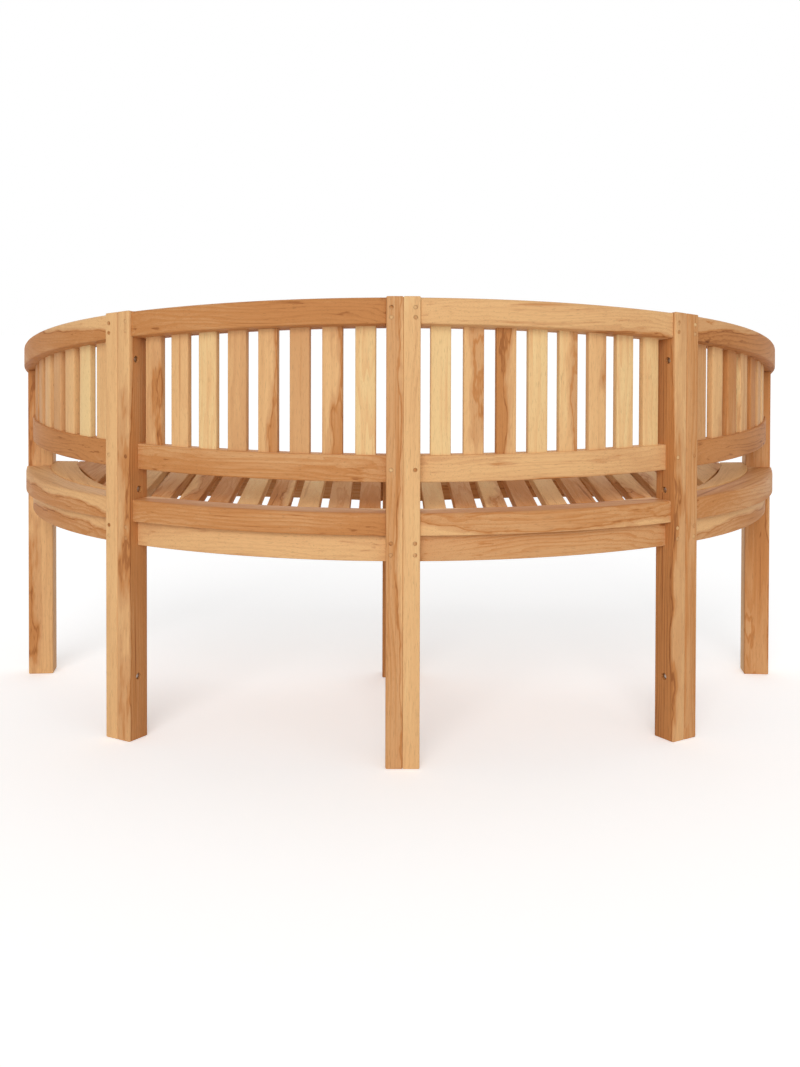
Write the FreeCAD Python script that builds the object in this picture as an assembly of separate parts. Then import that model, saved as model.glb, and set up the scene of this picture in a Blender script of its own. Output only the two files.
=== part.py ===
import FreeCAD, Part
import math
import os
from FreeCAD import Vector

# Half-moon garden bench of solid teak, in millimetres. Its curved back faces -Y, the sitter
# faces +Y, and the origin is on the ground under the middle of its bounding box.
HEIGHT = 800.0
DEPTH = 627.0
BACK_Y = -DEPTH / 2
FRONT_Y = DEPTH / 2

# Plan of the back: two arcs that meet at the side legs, drawn on the legs' outer faces
MIDDLE_RADIUS = 947.0
SIDE_RADIUS = 649.0
JOINT_ANGLE = math.radians(32.7)
ARC_STEP = MIDDLE_RADIUS - SIDE_RADIUS
MIDDLE_CENTRE = Vector(0, BACK_Y + MIDDLE_RADIUS, 0)
SIDE_CENTRE = MIDDLE_CENTRE + Vector(math.sin(JOINT_ANGLE), -math.cos(JOINT_ANGLE), 0) * ARC_STEP

# Legs: the paired ones, the end ones under the top rail and the pair at the front
LEG_WIDTH = 29.0
LEG_DEPTH = 47.0
LEG_SOFTENING = 1.5
END_LEG_WIDTH = 51.0
END_LEG_DEPTH = 45.0
END_LEG_X = 760.5
END_LEG_BACK = BACK_Y + 568.0
END_LEG_TURN = math.radians(5.0)
FRONT_LEG_WIDTH = 36.0
FRONT_LEG_BACK = BACK_Y + 541.0

# Planes of the curved boards: height at the back of the bench, and rise per unit of depth
TOP_RAIL_HEIGHT = 46.0
TOP_FALL = -0.1913
TOP_OF_RAIL = (HEIGHT, TOP_FALL)
UNDER_TOP_RAIL = (HEIGHT - TOP_RAIL_HEIGHT, TOP_FALL)
LOWER_RAIL_RISE = 0.041
TOP_OF_LOWER_RAIL = (528.0, LOWER_RAIL_RISE)
UNDER_LOWER_RAIL = (482.0, LOWER_RAIL_RISE)
TOP_OF_RIM = (432.0, 0.019)
UNDER_RIM = (394.0, 0.0105)
UNDER_BACK_APRON = (347.6, 0.0233)
SEAT_THICKNESS = 19.0
SEAT_RISE = 0.0255
TOP_OF_SEAT = (432.0, SEAT_RISE)
UNDER_SEAT = (TOP_OF_SEAT[0] - SEAT_THICKNESS, SEAT_RISE)
LEDGER_HEIGHT = 28.0
UNDER_LEDGER = (UNDER_SEAT[0] - LEDGER_HEIGHT, SEAT_RISE)
BEARER_HEIGHT = 44.0
UNDER_BEARER = (UNDER_SEAT[0] - BEARER_HEIGHT, SEAT_RISE)
GROUND = (0.0, 0.0)
OVER_ALL = (HEIGHT + 50.0, 0.0)

# How far the faces of the curved boards lie inside the legs' outer faces
TOP_RAIL_SIDES = (4.6, 51.6)
LOWER_RAIL_SIDES = (22.0, 47.0)
RIM_SIDES = (8.0, 58.0)
BACK_APRON_SIDES = (22.0, 46.0)
LEDGER_SIDES = (58.0, 80.0)
TOP_RAIL_BEVEL = 6.0
TOP_RAIL_END_ROUNDING = 12.0
RIM_BEVEL = 4.0

# Tenons on the boards' ends, set in mortises in the legs
TENON_LENGTH = 18.0
TENON_SHOULDER = 7.0

# Back slats
SLATS_PER_SECTION = 8
BACK_SLAT_WIDTH = 35.5
BACK_SLAT_THICKNESS = 13.5
BACK_SLAT_OFFSET = 27.0

# Seat slats: the gaps fan out slightly towards the front
FIRST_GAP_X = 30.0
SLAT_PITCH = 53.7
SLAT_GAP = 11.5
SIDE_SLATS = 11
FAN = 0.000088
FAN_START = BACK_Y + 60.0
LAST_SLAT_EXTRA = 10.0
SEAT_FIELD_OFFSET = LEG_DEPTH

# Front edge of the seat, hollowed in plan
FRONT_EDGE_MIDDLE = BACK_Y + 590.0
FRONT_EDGE_RADIUS = 11047.0
FRONT_EDGE_CENTRE = Vector(0, FRONT_EDGE_MIDDLE + FRONT_EDGE_RADIUS, 0)

# Seat end boards: three points on the curved inner edge of the right-hand one
END_BOARD_TIP = Vector(528, BACK_Y + 236, 0)
END_BOARD_MIDDLE = Vector(627, BACK_Y + 412, 0)
END_BOARD_FRONT = Vector(694, BACK_Y + 630, 0)

# Front aprons, arched along the lower edge
FRONT_APRON_SETBACK = 8.0
FRONT_APRON_THICKNESS = 24.0
FRONT_APRON_BOTTOM = 370.0
FRONT_APRON_ARCH = 9.0

# Bearers under the seat
BEARER_THICKNESS = 24.0
SIDE_BEARER_X = 491.0

# Bolts across the paired legs, given by height and by depth into the leg. Head and nut are
# sunk in counterbores.
BOLT_RADIUS = 3.0
BOLT_CLEARANCE = 0.25
BACK_BOLTS = ((114.0, 23.5), (452.0, 26.0), (686.0, 18.5))
FRONT_BOLTS = ((114.0, 23.5), (330.0, 23.5))
BOLT_HEAD_RADIUS = 5.2
BOLT_HEAD_HEIGHT = 6.0
BOLT_TAIL = 1.5
NUT_RADIUS = 5.7
NUT_HEIGHT = 5.0
NUT_SIDES = 6
COUNTERBORE_RADIUS = 6.2
COUNTERBORE_DEPTH = 7.5

# Pegs through the tenons
PEG_RADIUS = 3.3
PEG_LENGTH = 36.0
PEG_FROM_SIDE = 8.6
TOP_PEG_DEPTHS = (19.0, 36.0)
LOWER_PEG_DEPTH = 21.0
APRON_PEG_RISES = (15.5, 35.0)

# Small round bars are drawn with this many flats, which keeps their facets few
PEG_FLATS = 6
BOLT_FLATS = 6
HEAD_FLATS = 8

# How far cutting shapes run past the bench, and how near counts as touching
OVERRUN = 60.0
TOUCH = 0.05


def height_of(plane, y):
    return plane[0] + plane[1] * (y - BACK_Y)


def layer(low, high):
    # The space between two planes that rise or fall towards the front
    half_width = END_LEG_X + 2 * OVERRUN
    back = BACK_Y - OVERRUN
    front = FRONT_Y + OVERRUN
    corners = [
        Vector(-half_width, back, height_of(low, back)),
        Vector(-half_width, front, height_of(low, front)),
        Vector(-half_width, front, height_of(high, front)),
        Vector(-half_width, back, height_of(high, back)),
    ]
    outline = Part.makePolygon(corners + corners[:1])
    return Part.Face(outline).extrude(Vector(2 * half_width, 0, 0))


def prism(corners, low, high):
    # A straight piece standing on a plan outline, cut off by a lower and an upper plane
    outline = Part.makePolygon(corners + corners[:1])
    return Part.Face(outline).extrude(Vector(0, 0, OVER_ALL[0])).common(layer(low, high))


def station(centre, radius, angle, offset=0.0):
    # A place on the curve of the back, with the directions along it and in towards the sitter
    outward = Vector(math.sin(angle), -math.cos(angle), 0)
    along = Vector(math.cos(angle), math.sin(angle), 0)
    return centre + outward * (radius - offset), along, outward * -1


def post(place, left, right, depth, low, high):
    # A rectangular upright whose outer face is on the given place
    origin, along, inward = place
    corners = [
        origin + along * left,
        origin + along * right,
        origin + along * right + inward * depth,
        origin + along * left + inward * depth,
    ]
    return prism(corners, low, high)


def upright_edges(solid):
    return [edge for edge in solid.Edges
            if abs(edge.tangentAt(edge.FirstParameter).z) > 1 - TOUCH]


def mirrored(solid):
    return solid.mirror(Vector(0, 0, 0), Vector(1, 0, 0))


MIDDLE_PLACE = station(MIDDLE_CENTRE, MIDDLE_RADIUS, 0.0)
JOINT_PLACE = station(MIDDLE_CENTRE, MIDDLE_RADIUS, JOINT_ANGLE)
END_ACROSS = Vector(math.cos(END_LEG_TURN), -math.sin(END_LEG_TURN), 0)
END_FORWARD = Vector(math.sin(END_LEG_TURN), math.cos(END_LEG_TURN), 0)
END_PLACE = (Vector(END_LEG_X, END_LEG_BACK, 0), END_ACROSS, END_FORWARD)


def side_line(place, across):
    # Plan line along the side of a leg: a point on it and its heading
    origin, along, inward = place
    return origin + along * across, inward


def back_face_line(place, depth):
    origin, along, inward = place
    return origin + inward * depth, along


class Section:
    # One curved stretch of the back between two legs, on the right-hand side of the bench
    def __init__(self, name, centre, radius, start, end, start_tenon, end_tenon):
        self.name = name
        self.centre = centre
        self.radius = radius
        self.start = start
        self.end = end
        self.start_tenon = start_tenon
        self.end_tenon = end_tenon

    def crossing(self, offset, line):
        # Where a plan line crosses the curve at this distance inside the legs' outer faces
        anchor, heading = line
        radius = self.radius - offset
        away = anchor - self.centre
        along = away.dot(heading)
        reach = math.sqrt(along ** 2 - away.dot(away) + radius ** 2)
        step = min((-along - reach, -along + reach), key=abs)
        return anchor + heading * step

    def angle_at(self, point):
        return math.atan2(point.x - self.centre.x, self.centre.y - point.y)

    def arc(self, offset, start, end):
        first = self.crossing(offset, start)
        last = self.crossing(offset, end)
        middle_angle = (self.angle_at(first) + self.angle_at(last)) / 2
        middle = station(self.centre, self.radius, middle_angle, offset)[0]
        return Part.Arc(first, middle, last).toShape(), first, last

    def board(self, sides, low, high, start=None, end=None):
        start = start or self.start
        end = end or self.end
        outer_arc, outer_first, outer_last = self.arc(sides[0], start, end)
        inner_arc, inner_first, inner_last = self.arc(sides[1], start, end)
        outline = Part.Wire([
            outer_arc,
            Part.LineSegment(outer_last, inner_last).toShape(),
            inner_arc,
            Part.LineSegment(inner_first, outer_first).toShape(),
        ])
        blank = Part.Face(outline).extrude(Vector(0, 0, OVER_ALL[0]))
        return blank.common(layer(low, high))

    def long_edges(self, solid, offset, plane):
        # The curved edges of a board where its face at this offset meets this plane
        found = []
        for edge in solid.Edges:
            middle = edge.valueAt((edge.FirstParameter + edge.LastParameter) / 2)
            flat = Vector(middle.x - self.centre.x, middle.y - self.centre.y, 0)
            on_curve = abs(flat.Length - (self.radius - offset)) < TOUCH
            on_plane = abs(middle.z - height_of(plane, middle.y)) < TOUCH
            if on_curve and on_plane:
                found.append(edge)
        return found

    def tenoned(self, body, sides, low, high, at_end=True):
        # Adds a tenon at the start, and one at the end where the board enters a leg there
        tenon_sides = (sides[0] + TENON_SHOULDER, sides[1] - TENON_SHOULDER)
        tenon_low = (low[0] + TENON_SHOULDER, low[1])
        tenon_high = (high[0] - TENON_SHOULDER, high[1])
        body = body.fuse(self.board(tenon_sides, tenon_low, tenon_high, self.start_tenon, self.start))
        if at_end:
            body = body.fuse(self.board(tenon_sides, tenon_low, tenon_high, self.end, self.end_tenon))
        return body


MIDDLE_SECTION = Section(
    "middle", MIDDLE_CENTRE, MIDDLE_RADIUS,
    side_line(MIDDLE_PLACE, LEG_WIDTH), side_line(JOINT_PLACE, -LEG_WIDTH),
    side_line(MIDDLE_PLACE, LEG_WIDTH - TENON_LENGTH),
    side_line(JOINT_PLACE, -LEG_WIDTH + TENON_LENGTH))
SIDE_SECTION = Section(
    "end", SIDE_CENTRE, SIDE_RADIUS,
    side_line(JOINT_PLACE, LEG_WIDTH), back_face_line(END_PLACE, 0.0),
    side_line(JOINT_PLACE, LEG_WIDTH - TENON_LENGTH), back_face_line(END_PLACE, TENON_LENGTH))
SECTIONS = (MIDDLE_SECTION, SIDE_SECTION)

nodes = {}


def keep(name, solids):
    nodes[name] = nodes.get(name, []) + solids


def keep_both_sides(name, solids):
    # name holds SIDE where the left or right of the bench goes
    keep(name.replace("SIDE", "right"), solids)
    keep(name.replace("SIDE", "left"), [mirrored(solid) for solid in solids])


def softened_leg(leg):
    foot = [edge for edge in leg.Edges if edge.BoundBox.ZMax < TOUCH]
    return leg.makeChamfer(LEG_SOFTENING, upright_edges(leg) + foot)


def top_rail(section):
    # Heavy curved rail with a bevelled top; the end one runs on over the end leg
    end = section.end
    if section is SIDE_SECTION:
        end = (Vector(END_LEG_X, FRONT_Y, 0), Vector(1, 0, 0))
    rail = section.board(TOP_RAIL_SIDES, UNDER_TOP_RAIL, TOP_OF_RAIL, None, end)
    upper = section.long_edges(rail, TOP_RAIL_SIDES[0], TOP_OF_RAIL)
    rail = rail.makeChamfer(TOP_RAIL_BEVEL, upper)
    if section is SIDE_SECTION:
        plan = section.board(TOP_RAIL_SIDES, GROUND, OVER_ALL, None, end)
        corners = [edge for edge in upright_edges(plan) if edge.BoundBox.YMin > FRONT_Y - TOUCH]
        rail = rail.common(plan.makeFillet(TOP_RAIL_END_ROUNDING, corners))
    return rail


def seat_rim(section):
    rim = section.board(RIM_SIDES, UNDER_RIM, TOP_OF_RIM)
    return rim.makeChamfer(RIM_BEVEL, section.long_edges(rim, RIM_SIDES[0], TOP_OF_RIM))


# Curved boards of the right-hand half, each tenoned into its legs
right_boards = {}
for section in SECTIONS:
    right_boards["top_rail", section.name] = section.tenoned(
        top_rail(section), TOP_RAIL_SIDES, UNDER_TOP_RAIL, TOP_OF_RAIL, section is MIDDLE_SECTION)
    lower_rail = section.board(LOWER_RAIL_SIDES, UNDER_LOWER_RAIL, TOP_OF_LOWER_RAIL)
    right_boards["lower_back_rail", section.name] = section.tenoned(
        lower_rail, LOWER_RAIL_SIDES, UNDER_LOWER_RAIL, TOP_OF_LOWER_RAIL)
    right_boards["seat_rim", section.name] = seat_rim(section)
    apron = section.board(BACK_APRON_SIDES, UNDER_BACK_APRON, UNDER_RIM)
    right_boards["back_apron", section.name] = section.tenoned(
        apron, BACK_APRON_SIDES, UNDER_BACK_APRON, UNDER_RIM)
    right_boards["seat_ledger", section.name] = section.board(
        LEDGER_SIDES, UNDER_LEDGER, UNDER_SEAT)


def back_slats(section):
    # Upright slats at equal gaps between the legs, from the lower rail to the top rail
    offset = BACK_SLAT_OFFSET + BACK_SLAT_THICKNESS / 2
    first = section.angle_at(section.crossing(offset, section.start))
    last = section.angle_at(section.crossing(offset, section.end))
    width = BACK_SLAT_WIDTH / (section.radius - offset)
    gap = (last - first - SLATS_PER_SECTION * width) / (SLATS_PER_SECTION + 1)
    slats = []
    for index in range(SLATS_PER_SECTION):
        angle = first + gap + width / 2 + index * (gap + width)
        place = station(section.centre, section.radius, angle, BACK_SLAT_OFFSET)
        half = BACK_SLAT_WIDTH / 2
        slats.append(
            post(place, -half, half, BACK_SLAT_THICKNESS, TOP_OF_LOWER_RAIL, UNDER_TOP_RAIL))
    return slats


def seat_field():
    # Plan of the seat inside the legs' inner faces on the right-hand half, behind its front edge
    offset = SEAT_FIELD_OFFSET
    start = station(MIDDLE_CENTRE, MIDDLE_RADIUS, 0.0, offset)[0]
    half_way = station(MIDDLE_CENTRE, MIDDLE_RADIUS, JOINT_ANGLE / 2, offset)[0]
    joint = station(MIDDLE_CENTRE, MIDDLE_RADIUS, JOINT_ANGLE, offset)[0]
    end_angle = math.pi / 2
    bend = station(SIDE_CENTRE, SIDE_RADIUS, (JOINT_ANGLE + end_angle) / 2, offset)[0]
    end = station(SIDE_CENTRE, SIDE_RADIUS, end_angle, offset)[0]
    outline = Part.Wire([
        Part.Arc(start, half_way, joint).toShape(),
        Part.Arc(joint, bend, end).toShape(),
        Part.LineSegment(end, Vector(0, end.y, 0)).toShape(),
        Part.LineSegment(Vector(0, end.y, 0), start).toShape(),
    ])
    block = Part.Face(outline).extrude(Vector(0, 0, HEIGHT))
    in_front = Part.makeCylinder(FRONT_EDGE_RADIUS, HEIGHT, FRONT_EDGE_CENTRE)
    return block.cut(in_front)


def between_front_arcs(setback, thickness):
    # A curved band that follows the seat's front edge
    outer = Part.makeCylinder(FRONT_EDGE_RADIUS + setback + thickness, HEIGHT, FRONT_EDGE_CENTRE)
    inner = Part.makeCylinder(FRONT_EDGE_RADIUS + setback, HEIGHT, FRONT_EDGE_CENTRE)
    return outer.cut(inner)


def fanned_x(x, y):
    return x * (1 + FAN * (y - FAN_START))


def slat_strip(left, right):
    back = BACK_Y
    front = FRONT_Y + OVERRUN
    corners = [
        Vector(fanned_x(left, back), back, 0),
        Vector(fanned_x(right, back), back, 0),
        Vector(fanned_x(right, front), front, 0),
        Vector(fanned_x(left, front), front, 0),
    ]
    return prism(corners, UNDER_SEAT, TOP_OF_SEAT)


FIELD = seat_field()
RIM_WALLS = [section.board(RIM_SIDES, GROUND, OVER_ALL) for section in SECTIONS]


def end_board_zone():
    # Everything on the outer side of the end board's curved inner edge
    far_front = Vector(END_LEG_X + 2 * OVERRUN, END_BOARD_FRONT.y, 0)
    far_back = Vector(END_LEG_X + 2 * OVERRUN, END_BOARD_TIP.y, 0)
    outline = Part.Wire([
        Part.Arc(END_BOARD_TIP, END_BOARD_MIDDLE, END_BOARD_FRONT).toShape(),
        Part.LineSegment(END_BOARD_FRONT, far_front).toShape(),
        Part.LineSegment(far_front, far_back).toShape(),
        Part.LineSegment(far_back, END_BOARD_TIP).toShape(),
    ])
    return Part.Face(outline).extrude(Vector(0, 0, HEIGHT))


# The end leg with all that lies in front of it and outside it, to trim the seat's boards there
END_LEG_WALL = post(
    END_PLACE, -END_LEG_WIDTH / 2, END_LEG_WIDTH / 2 + OVERRUN, END_LEG_DEPTH + OVERRUN,
    GROUND, OVER_ALL)


def seat_slat(index):
    # One of the slats to the right of the middle one, counted outwards
    left = FIRST_GAP_X + SLAT_PITCH * index + SLAT_GAP / 2
    right = FIRST_GAP_X + SLAT_PITCH * (index + 1) - SLAT_GAP / 2
    if index == SIDE_SLATS - 1:
        right += LAST_SLAT_EXTRA
    slat = slat_strip(left, right).common(FIELD)
    for wall in RIM_WALLS:
        slat = slat.cut(wall)
    slat = slat.cut(end_board_zone())
    return max(slat.Solids, key=lambda solid: solid.Volume)


def seat_end_board():
    board = end_board_zone().common(FIELD).common(layer(UNDER_SEAT, TOP_OF_SEAT))
    for wall in RIM_WALLS:
        board = board.cut(wall)
    board = board.cut(END_LEG_WALL)
    return max(board.Solids, key=lambda solid: solid.Volume)


def front_apron():
    # Board under the front edge, with a gentle arch along its lower edge
    left = FRONT_LEG_WIDTH
    right = END_LEG_X
    middle = (left + right) / 2
    arch = Part.Arc(
        Vector(left, 0, FRONT_APRON_BOTTOM),
        Vector(middle, 0, FRONT_APRON_BOTTOM + FRONT_APRON_ARCH),
        Vector(right, 0, FRONT_APRON_BOTTOM)).toShape()
    outline = Part.Wire([
        arch,
        Part.LineSegment(Vector(right, 0, FRONT_APRON_BOTTOM), Vector(right, 0, HEIGHT)).toShape(),
        Part.LineSegment(Vector(right, 0, HEIGHT), Vector(left, 0, HEIGHT)).toShape(),
        Part.LineSegment(Vector(left, 0, HEIGHT), Vector(left, 0, FRONT_APRON_BOTTOM)).toShape(),
    ])
    block = Part.Face(outline).extrude(Vector(0, FRONT_Y, 0))
    block = block.common(between_front_arcs(FRONT_APRON_SETBACK, FRONT_APRON_THICKNESS))
    block = block.common(layer(GROUND, UNDER_SEAT))
    return block.cut(END_LEG_WALL)


# Right-hand uprights: middle pair, side pair, end leg and front pair
MIDDLE_LEG = post(MIDDLE_PLACE, 0, LEG_WIDTH, LEG_DEPTH, GROUND, TOP_OF_RAIL)
INNER_SIDE_LEG = post(JOINT_PLACE, -LEG_WIDTH, 0, LEG_DEPTH, GROUND, TOP_OF_RAIL)
OUTER_SIDE_LEG = post(JOINT_PLACE, 0, LEG_WIDTH, LEG_DEPTH, GROUND, TOP_OF_RAIL)
END_LEG = post(
    END_PLACE, -END_LEG_WIDTH / 2, END_LEG_WIDTH / 2, END_LEG_DEPTH, GROUND, UNDER_TOP_RAIL)
FRONT_PLACE = (Vector(0, FRONT_LEG_BACK, 0), Vector(1, 0, 0), Vector(0, 1, 0))
FRONT_LEG = post(FRONT_PLACE, 0, FRONT_LEG_WIDTH, LEG_DEPTH, GROUND, UNDER_SEAT)


def middle_bearer():
    # From the middle back leg to the front leg, flush with the seam between the two halves
    start = BACK_Y + LEG_DEPTH
    corners = [
        Vector(0, start, 0),
        Vector(BEARER_THICKNESS, start, 0),
        Vector(BEARER_THICKNESS, FRONT_LEG_BACK, 0),
        Vector(0, FRONT_LEG_BACK, 0),
    ]
    return prism(corners, UNDER_BEARER, UNDER_SEAT)


def side_bearer(apron):
    # From the inner faces of the side legs straight forward to the front apron
    half = BEARER_THICKNESS / 2
    start = JOINT_PLACE[0].y + LEG_WIDTH
    corners = [
        Vector(SIDE_BEARER_X - half, start, 0),
        Vector(SIDE_BEARER_X + half, start, 0),
        Vector(SIDE_BEARER_X + half, FRONT_Y, 0),
        Vector(SIDE_BEARER_X - half, FRONT_Y, 0),
    ]
    bearer = prism(corners, UNDER_BEARER, UNDER_SEAT)
    bearer = bearer.cut(INNER_SIDE_LEG).cut(OUTER_SIDE_LEG).cut(apron)
    return max(bearer.Solids, key=lambda solid: solid.Length)


def bar(radius, length, start, heading, flats):
    # A thin bar with flats round it, from a start point along a level heading
    across = Vector(-heading.y, heading.x, 0)
    corners = []
    for index in range(flats):
        angle = 2 * math.pi * (index + 0.5) / flats
        corners.append(start + across * (radius * math.cos(angle))
                       + Vector(0, 0, radius * math.sin(angle)))
    return Part.Face(Part.makePolygon(corners + corners[:1])).extrude(heading * length)


def peg(place, across, height):
    origin, along, inward = place
    start = origin + along * across + Vector(0, 0, height)
    return bar(PEG_RADIUS, PEG_LENGTH, start, inward, PEG_FLATS)


def pegs_for(place, across):
    # Pegs down one leg: two through the top rail's tenon, one below, two through the apron's
    origin, along, inward = place
    y = (origin + along * across).y
    heights = [height_of(TOP_OF_RAIL, y) - depth for depth in TOP_PEG_DEPTHS]
    heights.append(height_of(TOP_OF_LOWER_RAIL, y) - LOWER_PEG_DEPTH)
    heights += [height_of(UNDER_BACK_APRON, y) + rise for rise in APRON_PEG_RISES]
    return [peg(place, across, height) for height in heights]


def bolt_line(place, height, depth, half_width):
    # A bolt across a pair of legs with its nut, and the holes for the two
    origin, along, inward = place
    near_face = origin + along * -half_width + inward * depth + Vector(0, 0, height)
    far_face = near_face + along * (2 * half_width)
    seat = near_face + along * COUNTERBORE_DEPTH
    nut_seat = far_face - along * COUNTERBORE_DEPTH
    shank_length = 2 * (half_width - COUNTERBORE_DEPTH) + NUT_HEIGHT + BOLT_TAIL
    shank = bar(BOLT_RADIUS, shank_length, seat, along, BOLT_FLATS)
    head = bar(BOLT_HEAD_RADIUS, BOLT_HEAD_HEIGHT, seat, along * -1, HEAD_FLATS)
    nut = bar(NUT_RADIUS, NUT_HEIGHT, nut_seat, along, NUT_SIDES).cut(shank)
    holes = [
        bar(BOLT_RADIUS + BOLT_CLEARANCE, 2 * half_width, near_face, along, BOLT_FLATS),
        bar(COUNTERBORE_RADIUS, COUNTERBORE_DEPTH, near_face, along, HEAD_FLATS),
        bar(COUNTERBORE_RADIUS, COUNTERBORE_DEPTH, far_face, along * -1, HEAD_FLATS),
    ]
    return head.fuse(shank), nut, holes


def bored(solid, tools):
    for tool in tools:
        if solid.BoundBox.intersect(tool.BoundBox):
            solid = solid.cut(tool)
    return solid


# Pegs and bolts of the right-hand half, with the middle pair's own bolts
right_pegs = pegs_for(MIDDLE_PLACE, LEG_WIDTH - PEG_FROM_SIDE)
right_pegs += pegs_for(JOINT_PLACE, -LEG_WIDTH + PEG_FROM_SIDE)
right_pegs += pegs_for(JOINT_PLACE, LEG_WIDTH - PEG_FROM_SIDE)
side_bolts = [bolt_line(JOINT_PLACE, height, depth, LEG_WIDTH) for height, depth in BACK_BOLTS]
middle_bolts = [bolt_line(MIDDLE_PLACE, height, depth, LEG_WIDTH) for height, depth in BACK_BOLTS]
middle_bolts += [
    bolt_line(FRONT_PLACE, height, depth, FRONT_LEG_WIDTH) for height, depth in FRONT_BOLTS]
all_holes = [hole for bolt, nut, holes in side_bolts + middle_bolts for hole in holes]


def finished_leg(blank):
    # Softened edges, then mortises, bolt holes and peg holes
    leg = softened_leg(blank)
    leg = bored(leg, list(right_boards.values()))
    return bored(leg, all_holes + right_pegs)


keep_both_sides("back_leg_middle_SIDE", [finished_leg(MIDDLE_LEG)])
keep_both_sides("back_leg_SIDE_inner", [finished_leg(INNER_SIDE_LEG)])
keep_both_sides("back_leg_SIDE_outer", [finished_leg(OUTER_SIDE_LEG)])
keep_both_sides("end_leg_SIDE", [finished_leg(END_LEG)])
keep_both_sides("front_leg_middle_SIDE", [finished_leg(FRONT_LEG)])

for (piece, section_name), board in right_boards.items():
    keep_both_sides(piece + "_SIDE_" + section_name, [bored(board, right_pegs)])

for section in SECTIONS:
    keep_both_sides("back_slats_SIDE_" + section.name, back_slats(section))

middle_strip = slat_strip(-FIRST_GAP_X + SLAT_GAP / 2, FIRST_GAP_X - SLAT_GAP / 2)
whole_field = FIELD.fuse(mirrored(FIELD)).removeSplitter()
keep("seat_slat_middle", [middle_strip.common(whole_field).Solids[0]])
side_slats = [seat_slat(index) for index in range(SIDE_SLATS)]
keep_both_sides("seat_slats_SIDE", side_slats)
keep_both_sides("seat_end_board_SIDE", [seat_end_board()])

right_apron = front_apron()
keep_both_sides("front_apron_SIDE", [right_apron])
keep_both_sides("bearer_middle_SIDE", [middle_bearer()])
keep_both_sides("bearer_SIDE", [side_bearer(right_apron)])

keep("pegs", right_pegs + [mirrored(solid) for solid in right_pegs])
for bolt, nut, holes in side_bolts + middle_bolts:
    keep("bolts", [bolt])
    keep("nuts", [nut])
for bolt, nut, holes in side_bolts:
    keep("bolts", [mirrored(bolt)])
    keep("nuts", [mirrored(nut)])

os.makedirs("parts", exist_ok=True)
for name, solids in nodes.items():
    shape = solids[0] if len(solids) == 1 else Part.makeCompound(solids)
    shape.exportStep("parts/" + name + ".step")
    print(name, len(shape.Solids), round(shape.Volume / 1000.0), "cm3", shape.isValid())
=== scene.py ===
import math
import random

import bmesh
import bpy
from mathutils import Euler, Matrix, Vector


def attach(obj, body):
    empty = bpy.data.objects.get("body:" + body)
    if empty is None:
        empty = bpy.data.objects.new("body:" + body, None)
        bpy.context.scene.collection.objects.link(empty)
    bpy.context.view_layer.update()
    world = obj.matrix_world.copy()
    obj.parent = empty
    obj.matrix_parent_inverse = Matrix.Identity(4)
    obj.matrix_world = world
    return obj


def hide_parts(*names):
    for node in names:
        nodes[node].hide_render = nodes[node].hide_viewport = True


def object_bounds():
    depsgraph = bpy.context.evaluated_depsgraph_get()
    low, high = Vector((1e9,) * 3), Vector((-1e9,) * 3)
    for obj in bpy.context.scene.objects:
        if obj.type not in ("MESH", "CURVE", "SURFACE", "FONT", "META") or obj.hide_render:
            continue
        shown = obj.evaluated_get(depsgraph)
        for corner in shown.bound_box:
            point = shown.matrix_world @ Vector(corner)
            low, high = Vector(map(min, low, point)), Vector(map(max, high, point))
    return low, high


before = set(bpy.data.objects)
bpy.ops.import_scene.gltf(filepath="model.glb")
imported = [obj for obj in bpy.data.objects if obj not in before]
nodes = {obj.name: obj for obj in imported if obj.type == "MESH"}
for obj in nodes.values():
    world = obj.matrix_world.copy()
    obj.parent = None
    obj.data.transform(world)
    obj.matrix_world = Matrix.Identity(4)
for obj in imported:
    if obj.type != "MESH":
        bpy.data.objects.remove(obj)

cad_low, cad_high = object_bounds()

# The view, from behind the bench and nearly level with its top rail, in a picture 800 x 1067.
# It looks down by about one degree, and the lens is shifted for the rest.
picture_width = 800
picture_height = 1067
focal_length_in_picture = 1299.5
sensor = 36.0
eye_height = 0.7838
eye_distance = 2.1807
eye_left = 0.0274
turn = 0.0061
tilt = 0.0193
roll = 0.0026
lens_centre = Vector((395.2, 330.5))

camera_data = bpy.data.cameras.new("camera")
camera_data.sensor_width = sensor
camera_data.lens = focal_length_in_picture * sensor / picture_height
camera_data.shift_x = -(lens_centre.x - picture_width / 2) / picture_height
camera_data.shift_y = -(picture_height / 2 - lens_centre.y) / picture_height
camera = bpy.data.objects.new("camera", camera_data)
camera.location = (-eye_left, cad_low.y - eye_distance, eye_height)
camera.rotation_euler = Euler((math.pi / 2 - tilt, -roll, -turn), "XYZ")
bpy.context.scene.collection.objects.link(camera)
bpy.context.scene.camera = camera

# Plan of the back. Two arcs, a wide one in the middle and a tighter one on each side, carry the
# outer faces of the legs, and every curved board runs parallel to them.
middle_radius = 0.947
side_radius = 0.649
joint_angle = math.radians(32.7)
back_y = cad_low.y
middle_centre = Vector((0, back_y + middle_radius))
side_centre = middle_centre + Vector((math.sin(joint_angle), -math.cos(joint_angle))) * (
    middle_radius - side_radius)


def place_on_curve(centre, radius, angle, offset=0.0):
    # A plan point inside the curve by the offset, the heading along it and the heading inwards
    outward = Vector((math.sin(angle), -math.cos(angle)))
    along = Vector((math.cos(angle), math.sin(angle)))
    return centre + outward * (radius - offset), along, -outward


def height_at(plane, y):
    # A plane is its height at the back of the bench and its rise per metre towards the front
    return plane[0] + plane[1] * (y - back_y)


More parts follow.
